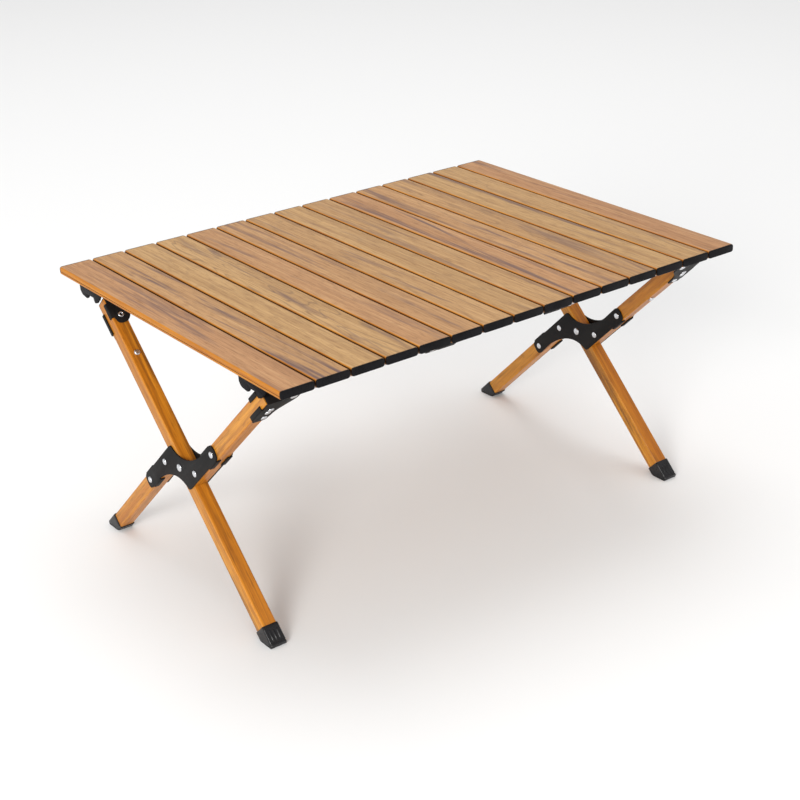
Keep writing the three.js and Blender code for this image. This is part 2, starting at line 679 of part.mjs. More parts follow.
// Where each rail's centre line lies, front to back.
const railBackY = RAIL_PIVOT_AT * Math.cos(LEG_ANGLE);
const railFrontY = -(RAIL_PIVOT_AT + SPLIT_SHIFT) * Math.cos(LEG_ANGLE) - SPLIT_OFFSET * Math.sin(LEG_ANGLE);
for (const [side, label] of [[-1, 'left'], [1, 'right']]) {
  table.add(clip(`clip_back_${label}`, side, railBackY));
  table.add(clip(`clip_front_${label}`, side, railFrontY));
}

export default table;
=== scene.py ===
# Folding picnic table: the looks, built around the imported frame.
# Metres. +X runs along the table's length, -Y is the front, +Z is up.

import json
import math
import random

import bmesh
import bpy
from mathutils import Matrix, Vector


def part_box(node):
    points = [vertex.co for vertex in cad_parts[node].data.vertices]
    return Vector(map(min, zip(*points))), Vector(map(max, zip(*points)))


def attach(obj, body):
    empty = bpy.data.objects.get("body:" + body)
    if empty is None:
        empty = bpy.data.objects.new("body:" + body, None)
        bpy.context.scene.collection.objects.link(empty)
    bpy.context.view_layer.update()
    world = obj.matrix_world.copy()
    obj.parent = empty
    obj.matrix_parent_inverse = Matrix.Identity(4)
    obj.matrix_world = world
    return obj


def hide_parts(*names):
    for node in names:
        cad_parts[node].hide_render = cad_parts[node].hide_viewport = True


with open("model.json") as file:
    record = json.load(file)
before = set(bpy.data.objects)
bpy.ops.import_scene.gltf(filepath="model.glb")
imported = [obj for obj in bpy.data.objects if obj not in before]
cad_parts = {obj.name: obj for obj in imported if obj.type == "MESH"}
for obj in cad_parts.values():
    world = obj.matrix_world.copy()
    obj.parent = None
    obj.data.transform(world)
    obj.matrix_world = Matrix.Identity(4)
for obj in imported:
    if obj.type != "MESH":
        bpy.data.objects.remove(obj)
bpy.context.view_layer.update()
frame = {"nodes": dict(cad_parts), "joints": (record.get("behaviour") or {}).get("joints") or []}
JOINTS = {joint["name"]: joint for joint in frame["joints"]}
MM = 0.001

# ---------------------------------------------------------------- driving values

# The camera, in the table's frame, and the studio round it.
CAMERA_PLACE = Vector((-1.530, -2.032, 1.382))
CAMERA_AZIMUTH = math.radians(36.92)
CAMERA_ELEVATION = math.radians(24.90)
CAMERA_ROLL = math.radians(-1.57)
CAMERA_LENS = 73.92
CAMERA_REACH = 50.0
FLOOR_SIZE = 30.0
FLOOR_GREY = 0.86
WORLD_LIGHT = 0.66
LIGHT_TARGET = Vector((0, 0, 0.3))
SIDE_LIGHT = {"place": (-6.6, -4.2, 3.4), "size": 3.0, "power": 560, "colour": (1.0, 0.99, 0.97)}
TOP_LIGHT = {"place": (0.8, 1.8, 6.6), "size": 5.0, "power": 170, "colour": (1.0, 1.0, 1.0)}

# Tabletop. Each slat's tint runs from 0, yellow tan, to 1, pinkish tan. Its streaks and growth lines
# run from 0, none, to 1, strong.
SLAT_TINTS = [0.95, 0.5, 0.05, 0.1, 0.8, 0.6, 0.3, 0.1, 0.25, 0.9, 0.6, 0.35, 0.05, 0.1, 1.0]
SLAT_STREAKS = [0.7, 1.0, 0.3, 0.9, 0.6, 0.8, 0.7, 0.4, 0.5, 0.9, 0.8, 0.6, 0.9, 0.3, 0.8]
SLAT_LINES = [0.15, 0.2, 0.25, 0.75, 0.2, 0.25, 0.45, 0.35, 0.35, 0.2, 0.3, 0.5, 0.25, 0.45, 0.2]
SLAT_EDGE = 3.2 * MM
SLAT_TRIM = 0.4 * MM
SLAT_SEAM_DROP = 7.4 * MM
SLAT_SEAM_WIDTH = 0.9 * MM
SLAT_SEAM_DEPTH = 0.7 * MM
CAP_REACH = 2.4 * MM
CAP_CORNER = 4.6 * MM
CAP_BEVEL = 0.9 * MM

# Leg and rail tubes.
TUBE_CORNER = 2.4 * MM
LEG_WALL = 1.4 * MM
RAIL_WALL = 1.4 * MM

# Feet. The toe and heel are each cut away by (rise, length back). Each row of the foot's skin is (part of
# the way from its top to the floor, inset in millimetres): a rolled lip, and a groove above the sole.
FOOT_CORNER = 3 * MM
FOOT_TOE = (6 * MM, 9 * MM)
FOOT_HEEL = (4 * MM, 2 * MM)
FOOT_ROWS = [(0.0, 0.5), (0.03, 0.0), (0.22, 0.0), (0.30, 0.0), (0.34, 0.0), (0.7, 0.0)]
FOOT_ROWS += [(0.86, 0.0), (0.87, 0.5), (0.91, 0.5), (0.92, 0.0), (1.0, 0.0)]
FOOT_BEVEL = 0.7 * MM
FOOT_RIBS = 3
FOOT_RIB_HEIGHT = 1.5 * MM
FOOT_RIB_PITCH = 6.6 * MM
FOOT_RIB_SHARE = 0.26
FOOT_RIB_SPAN = (0.3, 0.85)
FOOT_ARC_STEPS = 6
FOOT_SIDE_STEPS = 8
FOOT_TOP_STEPS = 40

# Sheet metal, in its leg's frame. The split leg's two tubes lie SPLIT_OFFSET to either side of the hub.
FIT_GAP = 0.3 * MM
LEG_HALF = 12.5 * MM
SPLIT_OFFSET = 27 * MM
SHEET_FACE = LEG_HALF + FIT_GAP
TAB_CORNER = 0.8 * MM
FOLD_RADIUS = 2.6 * MM
BEND_INSIDE = 0.3 * MM
WEB_CORNER = 1 * MM
SHEET_BEVEL = 0.45 * MM

# Hub plates. Each arm's inner edge runs from a waist to a peak beside the hub, and the pulls bend the
# curves between them. Rivets and tabs are placed by how far along the arm they sit.
PLATE_THICKNESS = 2.2 * MM
PLATE_HALF_LENGTH = 128 * MM
PLATE_ARM_MARGIN = 12.5 * MM
PLATE_WAIST = 84 * MM
PLATE_WAIST_RISE = 1 * MM
PLATE_WAIST_PULL = (14 * MM, 8 * MM)
PLATE_PEAK = (3 * MM, 4 * MM)
PLATE_TIP_PULL = 1 * MM
PLATE_TIP_END = 4 * MM
PLATE_BULGE = 3 * MM
PLATE_CORNER = 9 * MM
PLATE_RIVETS = (38.7 * MM, 115.6 * MM)
PLATE_FAR_TAB = (90 * MM, 120 * MM)
OUTER_NEAR_TAB = (82 * MM, 114 * MM)
INNER_NEAR_TAB = (36 * MM, 60 * MM)
TAB_REACH = 7 * MM

# Leg-top brackets. Cheek corners are (towards the rail, up the leg from the rail's pin, cut). The bolt and
# rivets are (towards the rail, down the leg), and the tabs run from one place down the leg to another.
BRACKET_THICKNESS = 2 * MM
RAIL_PIVOT_INSET = 31.5 * MM
CHEEK_TOP = 7 * MM
CHEEK_OUTER = 11 * MM
CHEEK_NECK = 13 * MM
CHEEK_EYE = 11 * MM
CHEEK_EYE_DROP = 12 * MM
UPPER_CHEEK = [
    (-CHEEK_OUTER, -30 * MM, 6 * MM),
    (-6 * MM, -52 * MM, 8 * MM),
    (12 * MM, -52 * MM, 8 * MM),
    (24 * MM, -34 * MM, 8 * MM),
]
LOWER_CHEEK = [
    (-CHEEK_OUTER, -68 * MM, 3 * MM),
    (12 * MM, -70 * MM, 5 * MM),
    (18 * MM, -40 * MM, 8 * MM),
]
EYE_LOW_CUT = 8 * MM
EYE_HIGH_CUT = 4 * MM
NECK_CUT = 3 * MM
NOTCH_CUT = 1 * MM
CROWN_CUT = 2 * MM
BOLT = (3 * MM, 38 * MM)
RIVETS = ((5 * MM, 30 * MM), (5 * MM, 58 * MM))
UPPER_TAB = (14 * MM, 40 * MM)
LOWER_TAB = (22 * MM, 59 * MM)
BRACKET_TAB_REACH = 6 * MM
BRACKET_TAB_ROOT = 8 * MM

# Rail knuckles.
KNUCKLE_LENGTH = 60 * MM
KNUCKLE_OVERHANG = 11 * MM
KNUCKLE_WEB_START = 16.6 * MM
KNUCKLE_FREE_CORNER = 7 * MM
KNUCKLE_FIXED_CORNER = 3 * MM

# Clips. An outline's top corners are places along Y from the wedge ear's middle, and its bottom corners
# are (that place, height above the ear's tip, cut).
CLIP_THICKNESS = 3 * MM
CLIP_CORNER = 3 * MM
CLIP_BEVEL = 0.5 * MM
CLIP_WEB = 13 * MM
CLIP_SCREW_INSET = 14 * MM
CLIP_SCREW_DEPTH = 32 * MM
EAR_THICKNESS = 2 * MM
EAR_ROOT = 1 * MM
WEDGE_MIDDLE = 21 * MM
WEDGE_TOP = (-19 * MM, 16 * MM)
WEDGE_BOTTOM = [(5 * MM, 0, 3 * MM), (-5 * MM, 3 * MM, 3 * MM)]
LOBE_TOP = (19 * MM, 54 * MM)
LOBE_BOTTOM = [(51 * MM, 4 * MM, 8 * MM), (27 * MM, 0, 8 * MM)]
WEB_TOP = (-19 * MM, 54 * MM)
WEB_BOTTOM = [(52.5 * MM, 0, 2 * MM), (-11 * MM, 0, 2 * MM)]

# Fasteners: radius and height of each kind of head. The shares are parts of a head's height or radius.
HUB_RIVET = (5.4 * MM, 2.1 * MM)
HUB_PIVOT = (6.4 * MM, 2.6 * MM)
BRACKET_RIVET = (5.0 * MM, 2.0 * MM)
LEG_SCREW = (5.0 * MM, 3.4 * MM)
CLIP_SCREW = (3.4 * MM, 1.6 * MM)
PIN_HEAD = (6.0 * MM, 2.0 * MM)
HEAD_LIP_SHARE = 0.22
HEAD_ROUNDNESS = 0.8
RIVET_TAIL_SHARE = 0.6
PIVOT_TAIL_SHARE = 0.8
EYELET_RIM_SHARE = 0.35
EYELET_ROLL_SHARE = 0.26
EYELET_SEAT_SHARE = 0.45
EYELET_HOLE_SHARE = 0.42
EYELET_DISH_SHARE = 0.1
EYELET_FLOOR_SHARE = 0.15
THIN_SHANK_SHARE = 0.6
SHANK_RADIUS = 3 * MM
SCREW_SHANK = 4 * MM
SHORT_SHANK = 2 * MM
SCREW_GAP = 0.1 * MM
HEAD_STEPS = 28
DOME_STEPS = 6

# Edges. Bevels and sharp shading start at these angles, in degrees. Merged bodies are welded where points
# lie closer than WELD_DISTANCE, and faces that bend by less than FLAT_ANGLE become one.
BEVEL_ANGLE = 35
FOOT_BEVEL_ANGLE = 55
BEVEL_SEGMENTS = 3
SHARP_ANGLE = 40
WELD_DISTANCE = 0.005 * MM
FLAT_ANGLE = 1

# Prints: growth lines in the wood figure, how far the grain may lean, how far the figure may move, and the
# seeds of the random draws. Painted shade in the gaps between slats comes from occlusion within GAP_REACH.
GROWTH_LINES = 17.0
GRAIN_TILT = 0.045
PATTERN_SHIFT = 3
SLAT_SEED = 11
SWING_SEED = 20
UPPER_SEED = 30
LOWER_SEED = 40
GAP_REACH = 9 * MM
GAP_SAMPLES = 8


# ---------------------------------------------------------------- outlines

def rounded(corners, steps=6):
    """An outline through corner points (u, v, cut), each cut back by its own length and curved."""
    points = []
    for index, (u, v, cut) in enumerate(corners):
        corner = Vector((u, v))
        before = Vector(corners[index - 1][:2])
        after = Vector(corners[(index + 1) % len(corners)][:2])
        if cut == 0:
            points.append(corner)
            continue
        start = corner + (before - corner).normalized() * cut
        end = corner + (after - corner).normalized() * cut
        for step in range(steps + 1):
            t = step / steps
            points.append(start * (1 - t) ** 2 + corner * 2 * t * (1 - t) + end * t * t)
    return points


def rectangle(low, high, cut):
    """A rectangle between two corners (u, v), its own corners curved."""
    corners = ((low[0], low[1]), (high[0], low[1]), (high[0], high[1]), (low[0], high[1]))
    return rounded([(u, v, cut) for u, v in corners])


def curve(start, control, end, steps):
    """Points after start on a curve that is pulled towards control, ending at end."""
    start, control, end = Vector(start), Vector(control), Vector(end)
    fractions = [step / steps for step in range(1, steps + 1)]
    return [start * (1 - t) ** 2 + control * 2 * t * (1 - t) + end * t * t for t in fractions]


# ---------------------------------------------------------------- solids

def at(u, v, w, axis):
    """The point whose place along an axis is w, and whose outline coordinates are u and v."""
    return [(w, u, v), (u, w, v), (u, v, w)][axis]


def bridge(solid, first, second):
    """Faces between two rings with the same number of points."""
    for index in range(len(first)):
        following = (index + 1) % len(first)
        solid.faces.new((first[index], first[following], second[following], second[index]))


def loft(solid, rings):
    """A closed body through rings of points, capped at both ends."""
    made = [[solid.verts.new(point) for point in ring] for ring in rings]
    for first, second in zip(made, made[1:]):
        bridge(solid, first, second)
    solid.faces.new(made[0])
    solid.faces.new(made[-1])


def prism(solid, outline, low, high, axis):
    """An outline carried straight from low to high along an axis."""
    loft(solid, [[at(u, v, w, axis) for u, v in outline] for w in (low, high)])


def pipe(solid, outer, inner, low, high, axis):
    """A hollow section with open ends: both outlines have the same number of points."""
    loops = []
    for outline, w in ((outer, low), (outer, high), (inner, high), (inner, low)):
        loops.append([solid.verts.new(at(u, v, w, axis)) for u, v in outline])
    for index, loop in enumerate(loops):
        bridge(solid, loop, loops[(index + 1) % len(loops)])


def hollow_bar(low, high, axis, wall):
    """A square tube that fills a box, open at both ends."""
    across = [index for index in range(3) if index != axis]
    outer_low = Vector([low[index] for index in across])
    outer_high = Vector([high[index] for index in across])
    inset = Vector((wall, wall))
    outer = rectangle(outer_low, outer_high, TUBE_CORNER)
    inner = rectangle(outer_low + inset, outer_high - inset, TUBE_CORNER - wall)
    solid = bmesh.new()
    pipe(solid, outer, inner, low[axis], high[axis], axis)
    return solid


def lathe(solid, profile, centre, axis, sign):
    """Turns a profile of (radius, height) points round an axis; it starts and ends on that axis."""
    rings = []
    for radius, height in profile:
        if radius == 0:
            point = Vector(centre)
            point[axis] += sign * height
            rings.append([solid.verts.new(point)])
            continue
        ring = []
        for step in range(HEAD_STEPS):
            angle = 2 * math.pi * step / HEAD_STEPS
            offset = Vector(at(radius * math.cos(angle), radius * math.sin(angle), sign * height, axis))
            ring.append(solid.verts.new(Vector(centre) + offset))
        rings.append(ring)
    for first, second in zip(rings, rings[1:]):
        if len(first) == 1 or len(second) == 1:
            pole, ring = (first[0], second) if len(first) == 1 else (second[0], first)
            for index in range(HEAD_STEPS):
                solid.faces.new((pole, ring[index], ring[(index + 1) % HEAD_STEPS]))
        else:
            bridge(solid, first, second)


def dome(radius, height):
    """The profile of a rounded head, from its rim to its top: a low lip, then a cap that curves over."""
    lip = height * HEAD_LIP_SHARE
    points = [(radius, 0), (radius, lip)]
    for step in range(1, DOME_STEPS):
        angle = math.pi / 2 * step / DOME_STEPS
        points.append((radius * math.cos(angle) ** HEAD_ROUNDNESS, lip + (height - lip) * math.sin(angle)))
    return points + [(0, height)]


def rivet(solid, centre, axis, sign, head, length, tail_head):
    """A rivet whose head seats at centre, with its shank running back by length to a flatter tail head."""
    tail = [(radius, -length - height) for radius, height in reversed(dome(*tail_head))]
    lathe(solid, tail + [(SHANK_RADIUS, -length), (SHANK_RADIUS, 0)] + dome(*head), centre, axis, sign)


def screw_head(solid, centre, axis, sign, head, shank):
    """A domed head that seats at centre, with a thin shank running back from it."""
    thin = SHANK_RADIUS * THIN_SHANK_SHARE
    lathe(solid, [(0, -shank), (thin, -shank), (thin, 0)] + dome(*head), centre, axis, sign)


def eyelet(solid, centre, axis, sign, head):
    """A tubular rivet: a rolled ring with a hollow middle."""
    radius, height = head
    profile = [(0, -height), (radius, -height), (radius, height * EYELET_RIM_SHARE)]
    for step in range(DOME_STEPS + 1):
        angle = math.pi * step / DOME_STEPS
        across = 1 - EYELET_ROLL_SHARE * (1 - math.cos(angle))
        up = EYELET_SEAT_SHARE + (1 - EYELET_SEAT_SHARE) * math.sin(angle)
        profile.append((radius * across, height * up))
    profile.append((radius * EYELET_HOLE_SHARE, -height * EYELET_DISH_SHARE))
    profile.append((0, -height * EYELET_FLOOR_SHARE))
    lathe(solid, profile, centre, axis, sign)


def merged(parts):
    """One mesh from overlapping closed bodies, joined where they overlap. Each part fills a bmesh."""
    objects = []
    for number, build in enumerate(parts):
        solid = bmesh.new()
        build(solid)
        bmesh.ops.recalc_face_normals(solid, faces=solid.faces)
        mesh = bpy.data.meshes.new(f"part_{number}")
        solid.to_mesh(mesh)
        solid.free()
        part = bpy.data.objects.new(f"part_{number}", mesh)
        bpy.context.scene.collection.objects.link(part)
        objects.append(part)
    base = objects[0]
    for other in objects[1:]:
        union = base.modifiers.new("union", "BOOLEAN")
        union.operation = "UNION"
        union.solver = "EXACT"
        union.object = other
    mesh = applied(base)
    for part in objects:
        bpy.data.objects.remove(part)
    solid = bmesh.new()
    solid.from_mesh(mesh)
    bmesh.ops.remove_doubles(solid, verts=solid.verts, dist=WELD_DISTANCE)
    limit = math.radians(FLAT_ANGLE)
    bmesh.ops.dissolve_limit(solid, angle_limit=limit, verts=solid.verts, edges=solid.edges)
    return solid


def applied(thing):
    """A new mesh holding what the object's modifiers make."""
    graph = bpy.context.evaluated_depsgraph_get()
    return bpy.data.meshes.new_from_object(thing.evaluated_get(graph))


def finish_piece(name, solid, look, body, stands_for=(), place=None, bevel=0.0, corner=BEVEL_ANGLE):
    """Turns a bmesh into a piece of the table: bevelled, smoothed, painted, and riding on its body."""
    bmesh.ops.recalc_face_normals(solid, faces=solid.faces)
    mesh = bpy.data.meshes.new(name)
    solid.to_mesh(mesh)
    solid.free()
    made = bpy.data.objects.new(name, mesh)
    bpy.context.scene.collection.objects.link(made)
    if bevel:
        edge = made.modifiers.new("edge", "BEVEL")
        edge.width = bevel
        edge.segments = BEVEL_SEGMENTS
        edge.limit_method = "ANGLE"
        edge.angle_limit = math.radians(corner)
        made.data = applied(made)
        made.data.name = name
        made.modifiers.clear()
    made.data.shade_smooth()
    made.data.set_sharp_from_angle(angle=math.radians(SHARP_ANGLE))
    made.data.materials.clear()
    made.data.materials.append(look)
    made.matrix_world = place or Matrix.Identity(4)
    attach(made, body)
    if stands_for:
        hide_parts(*stands_for)


# ---------------------------------------------------------------- material nodes

def new_look(name):
    """A new material, with its node tree and its shader."""
    look = bpy.data.materials.new(name)
    look.use_nodes = True
    tree = look.node_tree
    shader = next(node for node in tree.nodes if node.type == "BSDF_PRINCIPLED")
    return look, tree, shader


def feed(tree, socket, value):
    """Links a node's output to a socket, or sets the socket to a plain value."""
    if isinstance(value, bpy.types.NodeSocket):
        tree.links.new(value, socket)
    else:
        socket.default_value = value


def place_vector(tree, scale, shift=(0, 0, 0), turn=0.0):
    """Object coordinates, moved, turned a little about Z and scaled by their own amount on each axis."""
    source = tree.nodes.new("ShaderNodeTexCoord")
    mapping = tree.nodes.new("ShaderNodeMapping")
    mapping.inputs["Location"].default_value = shift
    mapping.inputs["Rotation"].default_value = (0, 0, turn)
    tree.links.new(source.outputs["Object"], mapping.inputs["Vector"])
    scaled = tree.nodes.new("ShaderNodeVectorMath")
    scaled.operation = "MULTIPLY"
    tree.links.new(mapping.outputs["Vector"], scaled.inputs[0])
    scaled.inputs[1].default_value = scale
    return scaled.outputs[0]


def noise(tree, vector, detail, roughness=0.5, distortion=0.0, scale=1.0):
    """A soft random value from 0 to 1 at each place."""
    made = tree.nodes.new("ShaderNodeTexNoise")
    feed(tree, made.inputs["Vector"], vector)
    made.inputs["Scale"].default_value = scale
    made.inputs["Detail"].default_value = detail
    made.inputs["Roughness"].default_value = roughness
    made.inputs["Distortion"].default_value = distortion
    return made.outputs["Fac"]


def math_of(tree, operation, first, second=0.0):
    """One arithmetic step on one or two values."""
    made = tree.nodes.new("ShaderNodeMath")
    made.operation = operation
    feed(tree, made.inputs[0], first)
    feed(tree, made.inputs[1], second)
    return made.outputs[0]


def spread(tree, value, low, high, to_low=0.0, to_high=1.0):
    """Value from low..high onto to_low..to_high, held at both ends."""
    made = tree.nodes.new("ShaderNodeMapRange")
    feed(tree, made.inputs["Value"], value)
    made.inputs["From Min"].default_value = low
    made.inputs["From Max"].default_value = high
    made.inputs["To Min"].default_value = to_low
    made.inputs["To Max"].default_value = to_high
    return made.outputs["Result"]


def mixed(tree, factor, first, second):
    """A colour between first and second, by a factor from 0 to 1."""
    made = tree.nodes.new("ShaderNodeMix")
    made.data_type = "RGBA"
    factor_socket, first_socket, second_socket = made.inputs[0], made.inputs[6], made.inputs[7]
    feed(tree, factor_socket, factor)
    feed(tree, first_socket, first)
    feed(tree, second_socket, second)
    return made.outputs[2]


def bumped(tree, shader, height, distance, strength):
    """Gives the shader a fine relief from a height value."""
    made = tree.nodes.new("ShaderNodeBump")
    made.inputs["Distance"].default_value = distance
    made.inputs["Strength"].default_value = strength
    feed(tree, made.inputs["Height"], height)
    tree.links.new(made.outputs["Normal"], shader.inputs["Normal"])


def painted(tree, shader, colour, roughness):
    """Gives the shader its colour and its roughness."""
    tree.links.new(colour, shader.inputs["Base Color"])
    tree.links.new(roughness, shader.inputs["Roughness"])


def srgb(red, green, blue):
    """A colour given in 0..255 display values, as the linear values that a shader takes."""
    def linear(value):
        value /= 255
        return value / 12.92 if value <= 0.04045 else ((value + 0.055) / 1.055) ** 2.4
    return (linear(red), linear(green), linear(blue), 1.0)


# ---------------------------------------------------------------- materials

def wood_figure(tree, shift, tilt=0.0):
    """Grain along local Y, each from 0 to 1: fine pores, fibres, soft bands, growth lines and streaks."""
    def stretched(across, along, turn=0.0):
        return place_vector(tree, (across, along, across), shift, turn)

    pores = noise(tree, stretched(520, 34), detail=4, roughness=0.7)
    fibres = noise(tree, stretched(230, 5.5), detail=4, roughness=0.6, distortion=0.2)
    bands = noise(tree, stretched(60, 1.8), detail=3, roughness=0.5)
    wander = noise(tree, stretched(20, 1.6, tilt), detail=2, roughness=0.45, distortion=0.5)
    lines = math_of(tree, "FRACT", math_of(tree, "MULTIPLY", wander, GROWTH_LINES))
    lines = spread(tree, math_of(tree, "ABSOLUTE", math_of(tree, "SUBTRACT", lines, 0.5)), 0.0, 0.5)
    streaks = noise(tree, stretched(52, 2.4, tilt), detail=4, roughness=0.6, distortion=0.4)
    return pores, fibres, bands, lines, streaks


def painted_gap_shade_mask(tree, reach, low, high):
    """From 0 to 1 by how far a surface is open to its surroundings within reach: the mask for painted shade
    in narrow gaps.
    """
    occlusion = tree.nodes.new("ShaderNodeAmbientOcclusion")
    occlusion.samples = GAP_SAMPLES
    occlusion.inputs["Distance"].default_value = reach
    return spread(tree, occlusion.outputs["AO"], low, high)


def face_amount(tree, axis, low, high):
    """How much a surface faces along a local axis: 0 below low, 1 above high."""
    coordinates = tree.nodes.new("ShaderNodeTexCoord")
    parts = tree.nodes.new("ShaderNodeSeparateXYZ")
    tree.links.new(coordinates.outputs["Normal"], parts.inputs[0])
    return spread(tree, math_of(tree, "ABSOLUTE", parts.outputs[axis]), low, high)


def random_shift(rng):
    """A random place in the wood figure, so that no two prints repeat."""
    return tuple(rng.uniform(-PATTERN_SHIFT, PATTERN_SHIFT) for _ in range(3))


def slat_print(index):
    """The tabletop's printed wood: tan, with grey-purple streaks, orange on the slat's sides, and painted
    shade deep in the gaps.
    """
    look, tree, shader = new_look(f"slat_print_{index + 1:02d}")
    rng = random.Random(index + SLAT_SEED)
    shift = random_shift(rng)
    tilt = rng.uniform(-GRAIN_TILT, GRAIN_TILT)
    pores, fibres, bands, lines, streaks = wood_figure(tree, shift, tilt)
    yellow, pink = Vector(srgb(190, 151, 99)), Vector(srgb(185, 136, 93))
    base = yellow.lerp(pink, SLAT_TINTS[index])
    deep = (base[0] * 0.66, base[1] * 0.60, base[2] * 0.54, 1)
    colour = mixed(tree, spread(tree, bands, 0.38, 0.72, 0.0, 0.6), tuple(base), deep)
    colour = mixed(tree, spread(tree, fibres, 0.46, 0.70, 0.0, 0.4), colour, srgb(134, 92, 58))
    colour = mixed(tree, spread(tree, fibres, 0.46, 0.30, 0.0, 0.3), colour, srgb(214, 176, 128))
    growth = spread(tree, lines, 0.0, 0.25, SLAT_LINES[index] * 0.7, 0.0)
    colour = mixed(tree, growth, colour, srgb(104, 80, 58))
    colour = mixed(tree, spread(tree, pores, 0.50, 0.66, 0.0, 0.5), colour, srgb(116, 78, 48))
    grey = spread(tree, streaks, 0.54, 0.64, 0.0, 0.9 * SLAT_STREAKS[index])
    colour = mixed(tree, grey, colour, srgb(100, 76, 72))
    orange = mixed(tree, spread(tree, fibres, 0.3, 0.7), srgb(196, 128, 32), srgb(150, 84, 10))
    colour = mixed(tree, face_amount(tree, "X", 0.28, 0.55), colour, orange)
    # Painted shade: dark brown mixed in where the gaps between slats hide the surface from its surroundings.
    colour = mixed(tree, painted_gap_shade_mask(tree, GAP_REACH, 0.42, 0.80), srgb(40, 14, 0), colour)
    painted(tree, shader, colour, spread(tree, pores, 0.3, 0.7, 0.42, 0.58))
    shader.inputs["Specular IOR Level"].default_value = 0.3
    bumped(tree, shader, pores, 0.05 * MM, 0.7)
    return look


def leg_print(name, seed):
    """The legs' printed wood: golden teak with dark fine grain, and painted shade that makes the upper and
    lower faces deeper amber.
    """
    look, tree, shader = new_look(name)
    pores, fibres, bands, lines, streaks = wood_figure(tree, random_shift(random.Random(seed)))
    golden = mixed(tree, spread(tree, bands, 0.36, 0.7), srgb(200, 136, 40), srgb(170, 102, 22))
    painted_shade_amber = mixed(tree, spread(tree, bands, 0.36, 0.7), srgb(212, 136, 34), srgb(168, 96, 16))
    # Painted shade: faces that look up or down take the deeper amber, standing in for how the light falls on
    # them.
    colour = mixed(tree, face_amount(tree, "Z", 0.5, 0.8), golden, painted_shade_amber)
    colour = mixed(tree, spread(tree, fibres, 0.46, 0.70, 0.0, 0.55), colour, srgb(128, 72, 18))
    colour = mixed(tree, spread(tree, lines, 0.0, 0.22, 0.35, 0.0), colour, srgb(120, 66, 18))
    colour = mixed(tree, spread(tree, pores, 0.50, 0.70, 0.0, 0.5), colour, srgb(104, 58, 18))
    colour = mixed(tree, spread(tree, streaks, 0.57, 0.66, 0.0, 0.7), colour, srgb(88, 50, 22))
    painted(tree, shader, colour, spread(tree, pores, 0.3, 0.7, 0.32, 0.46))
    shader.inputs["Specular IOR Level"].default_value = 0.35
    bumped(tree, shader, pores, 0.05 * MM, 0.7)
    return look


def coated_steel():
    """Black powder coat: satin, with a fine orange-peel skin and a little dust."""
    look, tree, shader = new_look("coated_steel")
    everywhere = place_vector(tree, (1, 1, 1))
    cloud = noise(tree, everywhere, detail=4, scale=45)
    dust = noise(tree, everywhere, detail=6, roughness=0.7, scale=420)
    colour = mixed(tree, spread(tree, cloud, 0.35, 0.7), srgb(17, 16, 16), srgb(27, 25, 25))
    colour = mixed(tree, spread(tree, dust, 0.62, 0.75, 0.0, 0.2), colour, srgb(62, 59, 57))
    painted(tree, shader, colour, spread(tree, cloud, 0.3, 0.7, 0.5, 0.66))
    shader.inputs["Specular IOR Level"].default_value = 0.15
    peel = noise(tree, everywhere, detail=2, scale=1500)
    bumped(tree, shader, peel, 0.06 * MM, 0.5)
    return look


def moulded_plastic(name, shine):
    """Black moulded plastic with a fine eroded grain and scuffed spots. shine is its specular level."""
    look, tree, shader = new_look(name)
    everywhere = place_vector(tree, (1, 1, 1))
    cloud = noise(tree, everywhere, detail=3, scale=60)
    scuff = noise(tree, everywhere, detail=7, roughness=0.72, scale=260)
    colour = mixed(tree, spread(tree, cloud, 0.35, 0.7), srgb(13, 12, 14), srgb(21, 20, 23))
    colour = mixed(tree, spread(tree, scuff, 0.60, 0.76, 0.0, 0.25), colour, srgb(42, 41, 44))
    painted(tree, shader, colour, spread(tree, scuff, 0.35, 0.7, 0.24, 0.4))
    shader.inputs["Specular IOR Level"].default_value = shine
    grain = noise(tree, everywhere, detail=2, scale=2200)
    bumped(tree, shader, grain, 0.07 * MM, 0.6)
    return look


def bare_aluminium():
    """Extruded aluminium: fine die lines along the bar (local X) and a dull oxide film."""
    look, tree, shader = new_look("bare_aluminium")
    drawn = noise(tree, place_vector(tree, (6, 1400, 1400)), detail=3, roughness=0.6)
    film = noise(tree, place_vector(tree, (1, 1, 1)), detail=4, scale=30)
    colour = mixed(tree, spread(tree, drawn, 0.3, 0.7), srgb(176, 177, 180), srgb(206, 207, 209))
    colour = mixed(tree, spread(tree, film, 0.5, 0.75, 0.0, 0.35), colour, srgb(148, 149, 152))
    painted(tree, shader, colour, spread(tree, drawn, 0.3, 0.7, 0.3, 0.46))
    shader.inputs["Metallic"].default_value = 1.0
    bumped(tree, shader, drawn, 0.03 * MM, 0.5)
    return look


def bright_steel():
    """Zinc-plated fasteners: bright, with small handling marks."""
    look, tree, shader = new_look("bright_steel")
    everywhere = place_vector(tree, (1, 1, 1))
    marks = noise(tree, everywhere, detail=6, roughness=0.7, scale=500)
    colour = mixed(tree, spread(tree, marks, 0.45, 0.72), srgb(222, 224, 228), srgb(176, 178, 184))
    painted(tree, shader, colour, spread(tree, marks, 0.35, 0.7, 0.16, 0.34))
    shader.inputs["Metallic"].default_value = 1.0
    bumped(tree, shader, marks, 0.03 * MM, 0.4)
    return look


STEEL = coated_steel()
PLASTIC = moulded_plastic("moulded_plastic", 0.1)
CLIP_PLASTIC = moulded_plastic("clip_plastic", 0.03)
FOOT_PLASTIC = moulded_plastic("foot_plastic", 0.4)
ALUMINIUM = bare_aluminium()
BRIGHT = bright_steel()


# ---------------------------------------------------------------- frames

def rail_joint(depth):
    """The joint at the left end of a rail: depth is +1 for the back rail, -1 for the front one."""
    return JOINTS["back_rail_left_end" if depth > 0 else "front_rail_left_end"]


